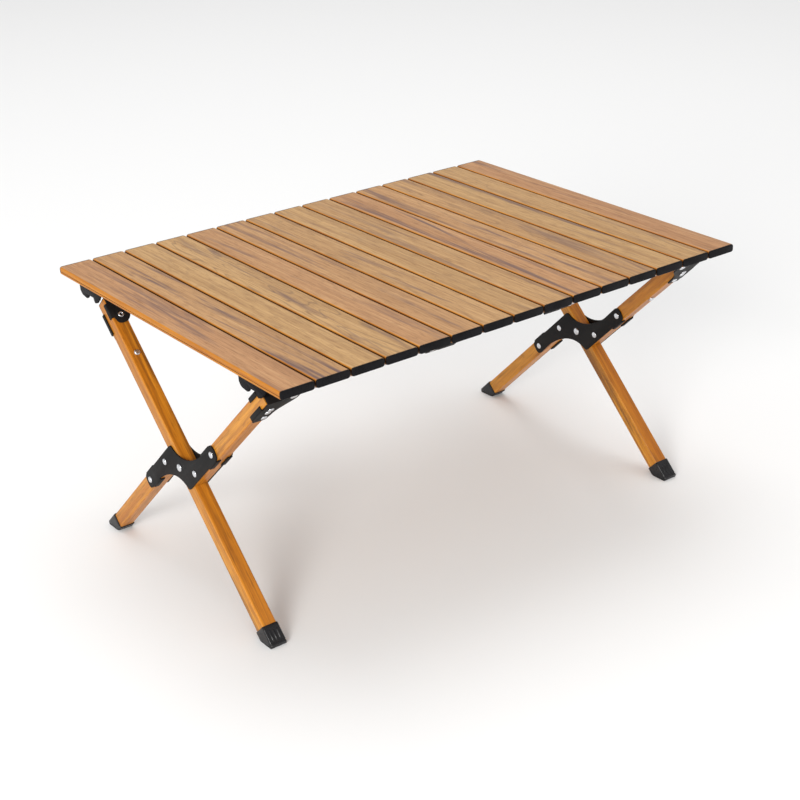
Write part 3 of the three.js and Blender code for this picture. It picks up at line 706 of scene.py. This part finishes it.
def leg_place(side, depth):
    """The frame of a leg: its origin at the hub, +Y up the leg, +Z on its upper side.
    depth is +1 for the leg that rises to the back, -1 for the one that rises to the front."""
    hub = JOINTS["scissor_left" if side < 0 else "scissor_right"]["pos_m"]
    up = -depth * Vector(rail_joint(depth)["axis"])
    across = Vector((depth, 0, 0))
    along = up.cross(across)
    turn = Matrix((across, along, up)).transposed().to_4x4()
    return Matrix.Translation(hub) @ turn


def tube_level(depth):
    """The height of a leg's top tube in its leg's frame: 0 for the swing leg, below it for the split leg."""
    return 0 if depth > 0 else -SPLIT_OFFSET


def local_box(node, place):
    """A CAD node's lowest and highest corner, measured in a leg's frame."""
    back = place.inverted()
    points = [back @ vertex.co for vertex in frame["nodes"][node].data.vertices]
    low = Vector([min(point[axis] for point in points) for axis in range(3)])
    high = Vector([max(point[axis] for point in points) for axis in range(3)])
    return low, high


def side_name(side):
    """The name of a side of the table: -1 is the left end, 1 the right."""
    return "left" if side < 0 else "right"


# ---------------------------------------------------------------- tabletop

def seam_corners(edge, inward, top):
    """The four corners of a square groove in a slat's side, from the bottom up."""
    floor = edge + inward * SLAT_SEAM_DEPTH
    bottom = top - SLAT_SEAM_WIDTH
    return [(edge, bottom, 0), (floor, bottom, 0), (floor, top, 0), (edge, top, 0)]


def slat_outline(low, high):
    """The slat's section in X and Z: curved edges, and a seam along each side."""
    seam = high[1] - SLAT_SEAM_DROP
    return rounded([
        (low[0], low[1], SLAT_EDGE),
        (high[0], low[1], SLAT_EDGE),
        *seam_corners(high[0], -1, seam),
        (high[0], high[1], SLAT_EDGE),
        (low[0], high[1], SLAT_EDGE),
        *reversed(seam_corners(low[0], 1, seam)),
    ], steps=5)


def add_slat(index):
    """A slat's printed board and its two end caps."""
    node = f"slat_{index + 1:02d}"
    low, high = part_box(node)
    left, right = low.x + SLAT_TRIM, high.x - SLAT_TRIM
    solid = bmesh.new()
    outline = slat_outline((left, low.z), (right, high.z))
    prism(solid, outline, low.y + CAP_REACH, high.y - CAP_REACH, 1)
    finish_piece(f"{node}_board", solid, slat_print(index), node, [node])
    cap_outline = rectangle((left, low.z), (right, high.z), CAP_CORNER)
    for end, inward, label in ((low.y, 1, "front"), (high.y, -1, "back")):
        solid = bmesh.new()
        prism(solid, cap_outline, end, end + inward * CAP_REACH, 1)
        finish_piece(f"{node}_cap_{label}", solid, PLASTIC, node, bevel=CAP_BEVEL)


# ---------------------------------------------------------------- legs

def add_tube(node, side, depth, body, seed):
    """A hollow square leg tube, as long as its CAD node."""
    place = leg_place(side, depth)
    low, high = local_box(node, place)
    solid = hollow_bar(low, high, 1, LEG_WALL)
    finish_piece(f"{node}_tube", solid, leg_print(f"{node}_print", seed), body, [node], place)


def foot_end(place, half, middle):
    """How far along the leg a foot reaches at a height v: the floor's plane, with toe and heel cut back."""
    toe_rise, toe_back = FOOT_TOE
    heel_rise, heel_back = FOOT_HEEL
    slope = -place[2][2] / place[2][1]

    def sole(v):
        return -(place[2][3] + (middle + v) * place[2][2]) / place[2][1]

    def reach(v):
        toe = sole(half - toe_rise) + (v - half + toe_rise) * (toe_back + toe_rise * slope) / toe_rise
        heel = sole(heel_rise - half) + (heel_rise - half - v) * (heel_back - heel_rise * slope) / heel_rise
        return max(sole(v), toe, heel)

    return reach


def foot_side(half):
    """One side of a foot's section, from the bottom to the top: (u, v) with u towards that side."""
    inner = half - FOOT_CORNER
    corners = [(0, -half, 0), (half, -half, FOOT_CORNER), (half, half, FOOT_CORNER), (0, half, 0)]
    points = [tuple(point) for point in rounded(corners, FOOT_ARC_STEPS)[1:-1]]
    count = FOOT_ARC_STEPS + 1
    straight = [(half, -inner + 2 * inner * step / FOOT_SIDE_STEPS) for step in range(1, FOOT_SIDE_STEPS)]
    return points[:count] + straight + points[count:]


def foot_top(half, height):
    """The top of a foot's section, from right to left, with its ribs."""
    inner = half - FOOT_CORNER
    points = []
    for step in range(1, FOOT_TOP_STEPS):
        u = inner - 2 * inner * step / FOOT_TOP_STEPS
        lift = 0.0
        for number in range(FOOT_RIBS):
            rib = (number - (FOOT_RIBS - 1) / 2) * FOOT_RIB_PITCH
            away = abs(u - rib) / (FOOT_RIB_PITCH * FOOT_RIB_SHARE)
            lift = max(lift, math.cos(min(away, 1) * math.pi / 2))
        points.append((u, half + height * lift))
    return points


def close_sole(solid, ring, count):
    """Closes a foot's last ring: strips between its flanks of count points, then one face under the top."""
    for step in range(count - 2):
        solid.faces.new((ring[step], ring[step + 1], ring[-2 - step], ring[-1 - step]))
    solid.faces.new(ring[count - 2:len(ring) - count + 2])


def add_foot(node, side, depth, body):
    """A foot cap: a sleeve on the tube, cut off at the floor, with ribs on top and a groove at the sole."""
    place = leg_place(side, depth)
    low, high = local_box(node, place)
    half = (high.x - low.x) / 2
    middle = (low.z + high.z) / 2
    reach = foot_end(place, half, middle)
    flank = foot_side(half)
    mirrored = [(-u, v) for u, v in reversed(flank)]
    solid = bmesh.new()
    rings = []
    for part, inset in FOOT_ROWS:
        ribbed = FOOT_RIB_HEIGHT if FOOT_RIB_SPAN[0] < part < FOOT_RIB_SPAN[1] else 0.0
        section = flank + foot_top(half, ribbed) + mirrored
        shrink = 1 - inset * MM / half
        ring = []
        for u, v in section:
            y = high.y + (reach(min(v, half)) - high.y) * part
            ring.append(solid.verts.new((u * shrink, y, middle + v * shrink)))
        rings.append(ring)
    for first, second in zip(rings, rings[1:]):
        bridge(solid, first, second)
    solid.faces.new(rings[0])
    close_sole(solid, rings[-1], len(flank))
    bmesh.ops.transform(solid, matrix=place, verts=solid.verts)
    finish_piece(
        f"{node}_cap", solid, FOOT_PLASTIC, body, [node],
        bevel=FOOT_BEVEL, corner=FOOT_BEVEL_ANGLE,
    )


# ---------------------------------------------------------------- hub plates

def hub_outline():
    """The Z-shaped plate in the split leg's Y and Z: two arms, turned half round from each other."""
    far = SPLIT_OFFSET + PLATE_ARM_MARGIN
    near = SPLIT_OFFSET - PLATE_ARM_MARGIN
    end = PLATE_HALF_LENGTH
    shoulder = end - PLATE_CORNER
    waist = (PLATE_WAIST, -near - PLATE_WAIST_RISE)
    peak = (PLATE_PEAK[0], far - PLATE_PEAK[1])
    arm = [Vector((shoulder, -far))]
    arm += curve((shoulder, -far), (end, -far), (end, PLATE_CORNER - far), steps=6)
    arm += curve((end, PLATE_CORNER - far), (end + PLATE_BULGE, -near), (shoulder, -near), steps=8)
    arm.append(Vector(waist))
    arm += curve(waist, (PLATE_WAIST_PULL[0], -PLATE_WAIST_PULL[1]), peak, steps=16)
    arm += curve(peak, (PLATE_TIP_PULL, far), (-PLATE_TIP_END, far), steps=6)
    return arm + [-point for point in arm]


def plate_tab(outward, span, arm, face, away):
    """A tab folded over a tube's face: an L section with a curved fold, run along the arm."""
    near = SHEET_FACE
    far = near + PLATE_THICKNESS
    skin = face + away * FIT_GAP
    top = skin + away * PLATE_THICKNESS
    root = skin - away * PLATE_THICKNESS
    section = rounded([
        (outward * near, root, 0),
        (outward * far, root, 0),
        (outward * far, top, FOLD_RADIUS),
        (outward * (near - TAB_REACH), top, TAB_CORNER),
        (outward * (near - TAB_REACH), skin, BEND_INSIDE),
        (outward * near, skin, BEND_INSIDE),
    ])
    low, high = sorted((arm * span[0], arm * span[1]))
    return lambda solid: prism(solid, section, low, high, 1)


def add_hub_plate(node, outward, near_span, side, body):
    """A hub plate on one face of the split leg: outward is the side of the leg that it lies on, in X."""
    place = leg_place(side, -1)
    low, high = sorted((outward * SHEET_FACE, outward * (SHEET_FACE + PLATE_THICKNESS)))
    parts = [lambda solid: prism(solid, hub_outline(), low, high, 0)]
    for arm in (1, -1):
        parts.append(plate_tab(outward, PLATE_FAR_TAB, arm, -arm * (SPLIT_OFFSET + LEG_HALF), -arm))
        parts.append(plate_tab(outward, near_span, arm, -arm * (SPLIT_OFFSET - LEG_HALF), arm))
    solid = merged(parts)
    finish_piece(f"{node}_sheet", solid, STEEL, body, [node], place, bevel=SHEET_BEVEL)


def add_hub_rivets(side, body):
    """The four fixed rivets of a hub and the pivot that the swing leg turns on."""
    place = leg_place(side, -1)
    outward = -side
    face = SHEET_FACE + PLATE_THICKNESS
    rivet_tail = (HUB_RIVET[0], HUB_RIVET[1] * RIVET_TAIL_SHARE)
    pivot_tail = (HUB_PIVOT[0], HUB_PIVOT[1] * PIVOT_TAIL_SHARE)
    solid = bmesh.new()
    for arm in (1, -1):
        for along in PLATE_RIVETS:
            centre = (outward * face, arm * along, -arm * SPLIT_OFFSET)
            rivet(solid, centre, 0, outward, HUB_RIVET, 2 * face, rivet_tail)
    label = side_name(side)
    finish_piece(f"hub_rivets_{label}", solid, BRIGHT, body, place=place)
    solid = bmesh.new()
    centre = (outward * face, 0, 0)
    rivet(solid, centre, 0, outward, HUB_PIVOT, 2 * face, pivot_tail)
    node = f"hub_pivot_{label}"
    finish_piece(f"{node}_pin", solid, BRIGHT, body, [node], place)


# ---------------------------------------------------------------- leg-top brackets

def cheek_outlines(inward, pivot, web_top):
    """The outlines of a bracket's upper and lower cheeks, in the leg's X and Y."""
    eye = [
        (inward * (RAIL_PIVOT_INSET + CHEEK_EYE), pivot - CHEEK_EYE_DROP, EYE_LOW_CUT),
        (inward * (RAIL_PIVOT_INSET + CHEEK_EYE), pivot + CHEEK_TOP, EYE_HIGH_CUT),
        (inward * CHEEK_NECK, pivot + CHEEK_TOP, NECK_CUT),
        (inward * CHEEK_NECK, web_top, NOTCH_CUT),
        (-inward * CHEEK_OUTER, web_top, CROWN_CUT),
    ]
    outlines = []
    for corners in (UPPER_CHEEK, LOWER_CHEEK):
        placed = [(inward * u, pivot + v, cut) for u, v, cut in corners]
        outlines.append(rounded(placed + eye, steps=8))
    return outlines


def bracket_tab(inward, pivot, face, span, z):
    """A tab bent from a cheek over the tube's outer face."""
    near = SHEET_FACE
    far = near + BRACKET_THICKNESS
    outer = -inward * near
    edge = -inward * far
    section = rounded([
        (-inward * BRACKET_TAB_ROOT, z + face * near, 0),
        (outer, z + face * near, BEND_INSIDE),
        (outer, z + face * (near - BRACKET_TAB_REACH), BEND_INSIDE),
        (edge, z + face * (near - BRACKET_TAB_REACH), TAB_CORNER),
        (edge, z + face * far, FOLD_RADIUS),
        (-inward * BRACKET_TAB_ROOT, z + face * far, 0),
    ])
    return lambda solid: prism(solid, section, pivot - span[1], pivot - span[0], 1)


def add_bracket(node, pin_node, side, depth, body):
    """A leg-top bracket with its bolt, rivets and the pin that the rail turns on."""
    place = leg_place(side, depth)
    inward = -side * depth
    z = tube_level(depth)
    pin_low, pin_high = local_box(pin_node, place)
    pivot = (pin_low.y + pin_high.y) / 2
    near = SHEET_FACE
    far = near + BRACKET_THICKNESS
    tube_node = f"leg_swing_{side_name(side)}" if depth > 0 else f"leg_upper_{side_name(side)}"
    web = local_box(tube_node, place)[1].y + FIT_GAP
    web_top = web + BRACKET_THICKNESS
    upper, lower = cheek_outlines(inward, pivot, web_top)
    web_outline = rectangle((-CHEEK_OUTER, z - far), (CHEEK_OUTER, z + far), WEB_CORNER)
    solid = merged([
        lambda solid: prism(solid, upper, z + near, z + far, 2),
        lambda solid: prism(solid, lower, z - far, z - near, 2),
        lambda solid: prism(solid, web_outline, web, web_top, 1),
        bracket_tab(inward, pivot, 1, UPPER_TAB, z),
        bracket_tab(inward, pivot, -1, LOWER_TAB, z),
    ])
    finish_piece(f"{node}_sheet", solid, STEEL, body, [node], place, bevel=SHEET_BEVEL)
    solid = bmesh.new()
    eyelet(solid, (inward * BOLT[0], pivot - BOLT[1], z + far), 2, 1, BRACKET_RIVET)
    screw_head(solid, (inward * BOLT[0], pivot - BOLT[1], z - far), 2, -1, BRACKET_RIVET, SHORT_SHANK)
    for inset, drop in RIVETS:
        screw_head(solid, (inward * inset, pivot - drop, z - far), 2, -1, BRACKET_RIVET, SHORT_SHANK)
    finish_piece(f"{node}_rivets", solid, BRIGHT, body, place=place)
    solid = bmesh.new()
    centre = (inward * RAIL_PIVOT_INSET, pivot, z + far)
    rivet(solid, centre, 2, 1, PIN_HEAD, 2 * far, PIN_HEAD)
    finish_piece(f"{pin_node}_rod", solid, BRIGHT, body, [pin_node], place)


def add_leg_screw(side, depth, body):
    """The dome-headed screw in a leg's face: in the upper face of the left one, the lower of the right."""
    node = f"leg_screw_{side_name(side)}"
    place = leg_place(side, depth)
    low, high = local_box(node, place)
    z = tube_level(depth)
    centre = ((low.x + high.x) / 2, (low.y + high.y) / 2, z + depth * (LEG_HALF + SCREW_GAP))
    solid = bmesh.new()
    screw_head(solid, centre, 2, depth, LEG_SCREW, SCREW_SHANK)
    finish_piece(f"{node}_head", solid, BRIGHT, body, [node], place)


# ---------------------------------------------------------------- rails

def rail_place(depth):
    """The frame of a rail: its origin on the rail's centre line in the middle, X along it, Z as its legs."""
    start = rail_joint(depth)["pos_m"]
    place = leg_place(-1, depth)
    place.translation = (0, start[1], start[2])
    return place


def add_rail_bar(node, depth, body):
    """One of a rail's three bars, a hollow aluminium tube."""
    place = rail_place(depth)
    low, high = local_box(node, place)
    solid = hollow_bar(low, high, 0, RAIL_WALL)
    finish_piece(f"{node}_tube", solid, ALUMINIUM, body, [node], place)


def add_knuckle(node, pin_node, depth, body):
    """A channel on the centre bar's end, with the pin that the end bar turns on."""
    place = rail_place(depth)
    low, high = local_box(node, place)
    pin_low, pin_high = local_box(pin_node, place)
    pin_x = (pin_low.x + pin_high.x) / 2
    inward = 1 if high.x - pin_x > pin_x - low.x else -1
    thickness = BRACKET_THICKNESS
    half = high.z - thickness
    start = pin_x - inward * KNUCKLE_OVERHANG
    end = pin_x + inward * (KNUCKLE_LENGTH - KNUCKLE_OVERHANG)
    cheek = rounded([
        (start, -half, KNUCKLE_FREE_CORNER),
        (end, -half, KNUCKLE_FIXED_CORNER),
        (end, half, KNUCKLE_FIXED_CORNER),
        (start, half, KNUCKLE_FREE_CORNER),
    ])
    web_low, web_high = sorted((pin_x + inward * KNUCKLE_WEB_START, end))
    web = rectangle((web_low, -high.z), (web_high, high.z), WEB_CORNER)
    solid = merged([
        lambda solid: prism(solid, cheek, half, high.z, 2),
        lambda solid: prism(solid, cheek, -high.z, -half, 2),
        lambda solid: prism(solid, web, low.y, low.y + thickness, 1),
    ])
    finish_piece(f"{node}_channel", solid, STEEL, body, [node], place, bevel=SHEET_BEVEL)
    solid = bmesh.new()
    rivet(solid, (pin_x, 0, high.z), 2, 1, PIN_HEAD, 2 * high.z, PIN_HEAD)
    finish_piece(f"{pin_node}_rod", solid, BRIGHT, body, [pin_node], place)


# ---------------------------------------------------------------- clips

def ear_outline(middle, root, tip, top, bottom, steps=6):
    """An outline in Y and Z that hangs from the clip's flange: two corners at the root, two near the tip."""
    corners = [(middle + y, root, 0) for y in top]
    corners += [(middle + y, tip + rise, cut) for y, rise, cut in bottom]
    return rounded(corners, steps)


def add_clip(node, side, body):
    """A clip under an end slat: a screwed flange with a wedge ear, a round ear and a web between them."""
    low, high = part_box(node)
    inward = -side
    edge = low.x if side < 0 else high.x
    middle = low.y + WEDGE_MIDDLE
    root = high.z - CLIP_THICKNESS + EAR_ROOT
    flange = rectangle(low.xy, high.xy, CLIP_CORNER)
    ears = [
        ear_outline(middle, root, low.z, WEDGE_TOP, WEDGE_BOTTOM),
        ear_outline(middle, root, low.z, LOBE_TOP, LOBE_BOTTOM, steps=8),
        ear_outline(middle, root, root - CLIP_WEB, WEB_TOP, WEB_BOTTOM),
    ]
    skin = sorted((edge, edge + inward * EAR_THICKNESS))
    parts = [lambda solid: prism(solid, flange, high.z - CLIP_THICKNESS, high.z, 2)]
    for ear in ears:
        parts.append(lambda solid, ear=ear: prism(solid, ear, skin[0], skin[1], 0))
    solid = merged(parts)
    finish_piece(f"{node}_moulding", solid, CLIP_PLASTIC, body, [node], bevel=CLIP_BEVEL)
    solid = bmesh.new()
    for y in (low.y + CLIP_SCREW_INSET, high.y - CLIP_SCREW_INSET):
        centre = (edge + inward * CLIP_SCREW_DEPTH, y, high.z - CLIP_THICKNESS)
        screw_head(solid, centre, 2, -1, CLIP_SCREW, SHORT_SHANK)
    finish_piece(f"{node}_screws", solid, BRIGHT, body)


# ---------------------------------------------------------------- the table

for number in range(len(SLAT_TINTS)):
    add_slat(number)

for side in (-1, 1):
    label = side_name(side)
    swing_body = f"{label}_swing_leg"
    fixed_body = f"{label}_fixed_frame"
    end_slat = "slat_01" if side < 0 else f"slat_{len(SLAT_TINTS):02d}"
    add_tube(f"leg_swing_{label}", side, 1, swing_body, SWING_SEED + side)
    add_tube(f"leg_upper_{label}", side, -1, fixed_body, UPPER_SEED + side)
    add_tube(f"leg_lower_{label}", side, -1, fixed_body, LOWER_SEED + side)
    add_foot(f"foot_front_{label}", side, 1, swing_body)
    add_foot(f"foot_back_{label}", side, -1, fixed_body)
    add_hub_plate(f"hub_plate_outer_{label}", -side, OUTER_NEAR_TAB, side, fixed_body)
    add_hub_plate(f"hub_plate_inner_{label}", side, INNER_NEAR_TAB, side, fixed_body)
    add_hub_rivets(side, fixed_body)
    add_bracket(f"bracket_back_{label}", f"rail_pin_back_{label}", side, 1, swing_body)
    add_bracket(f"bracket_front_{label}", f"rail_pin_front_{label}", side, -1, fixed_body)
    add_clip(f"clip_back_{label}", side, end_slat)
    add_clip(f"clip_front_{label}", side, end_slat)

add_leg_screw(-1, 1, "left_swing_leg")
add_leg_screw(1, -1, "right_fixed_frame")

for depth, label in ((1, "back"), (-1, "front")):
    for end in ("left", "right"):
        add_rail_bar(f"rail_end_bar_{label}_{end}", depth, f"{label}_{end}_bar")
    add_rail_bar(f"rail_centre_bar_{label}", depth, f"{label}_centre")
    for end in ("left", "right"):
        add_knuckle(f"rail_knuckle_{label}_{end}", f"knuckle_pin_{label}_{end}", depth, f"{label}_centre")


# ---------------------------------------------------------------- studio

def add_camera():
    """The camera, at the photo's viewing angle."""
    data = bpy.data.cameras.new("camera")
    data.lens = CAMERA_LENS
    data.clip_end = CAMERA_REACH
    camera = bpy.data.objects.new("camera", data)
    bpy.context.scene.collection.objects.link(camera)
    turn = Matrix.Rotation(-CAMERA_AZIMUTH, 4, "Z")
    tilt = Matrix.Rotation(math.pi / 2 - CAMERA_ELEVATION, 4, "X")
    roll = Matrix.Rotation(CAMERA_ROLL, 4, "Z")
    camera.matrix_world = Matrix.Translation(CAMERA_PLACE) @ turn @ tilt @ roll
    bpy.context.scene.camera = camera


def add_floor():
    """A plain pale floor."""
    half = FLOOR_SIZE / 2
    mesh = bpy.data.meshes.new("floor")
    corners = [(-half, -half, 0), (half, -half, 0), (half, half, 0), (-half, half, 0)]
    mesh.from_pydata(corners, [], [(0, 1, 2, 3)])
    floor = bpy.data.objects.new("floor", mesh)
    bpy.context.scene.collection.objects.link(floor)
    look, _, shader = new_look("floor_paint")
    shader.inputs["Base Color"].default_value = (FLOOR_GREY, FLOOR_GREY, FLOOR_GREY, 1)
    shader.inputs["Roughness"].default_value = 0.7
    mesh.materials.append(look)


def add_light(name, place, size, power, colour):
    """A square soft light that faces the table."""
    data = bpy.data.lights.new(name, "AREA")
    data.shape = "SQUARE"
    data.size = size
    data.energy = power
    data.color = colour
    light = bpy.data.objects.new(name, data)
    bpy.context.scene.collection.objects.link(light)
    light.location = place
    light.rotation_euler = (LIGHT_TARGET - Vector(place)).to_track_quat("-Z", "Y").to_euler()


def add_world():
    """An even white surround."""
    world = bpy.data.worlds.new("studio")
    world.use_nodes = True
    background = world.node_tree.nodes["Background"]
    background.inputs["Color"].default_value = (1, 1, 1, 1)
    background.inputs["Strength"].default_value = WORLD_LIGHT
    bpy.context.scene.world = world


add_camera()
add_floor()
add_world()
add_light("side", **SIDE_LIGHT)
add_light("top", **TOP_LIGHT)
bpy.context.scene.view_settings.view_transform = "Standard"
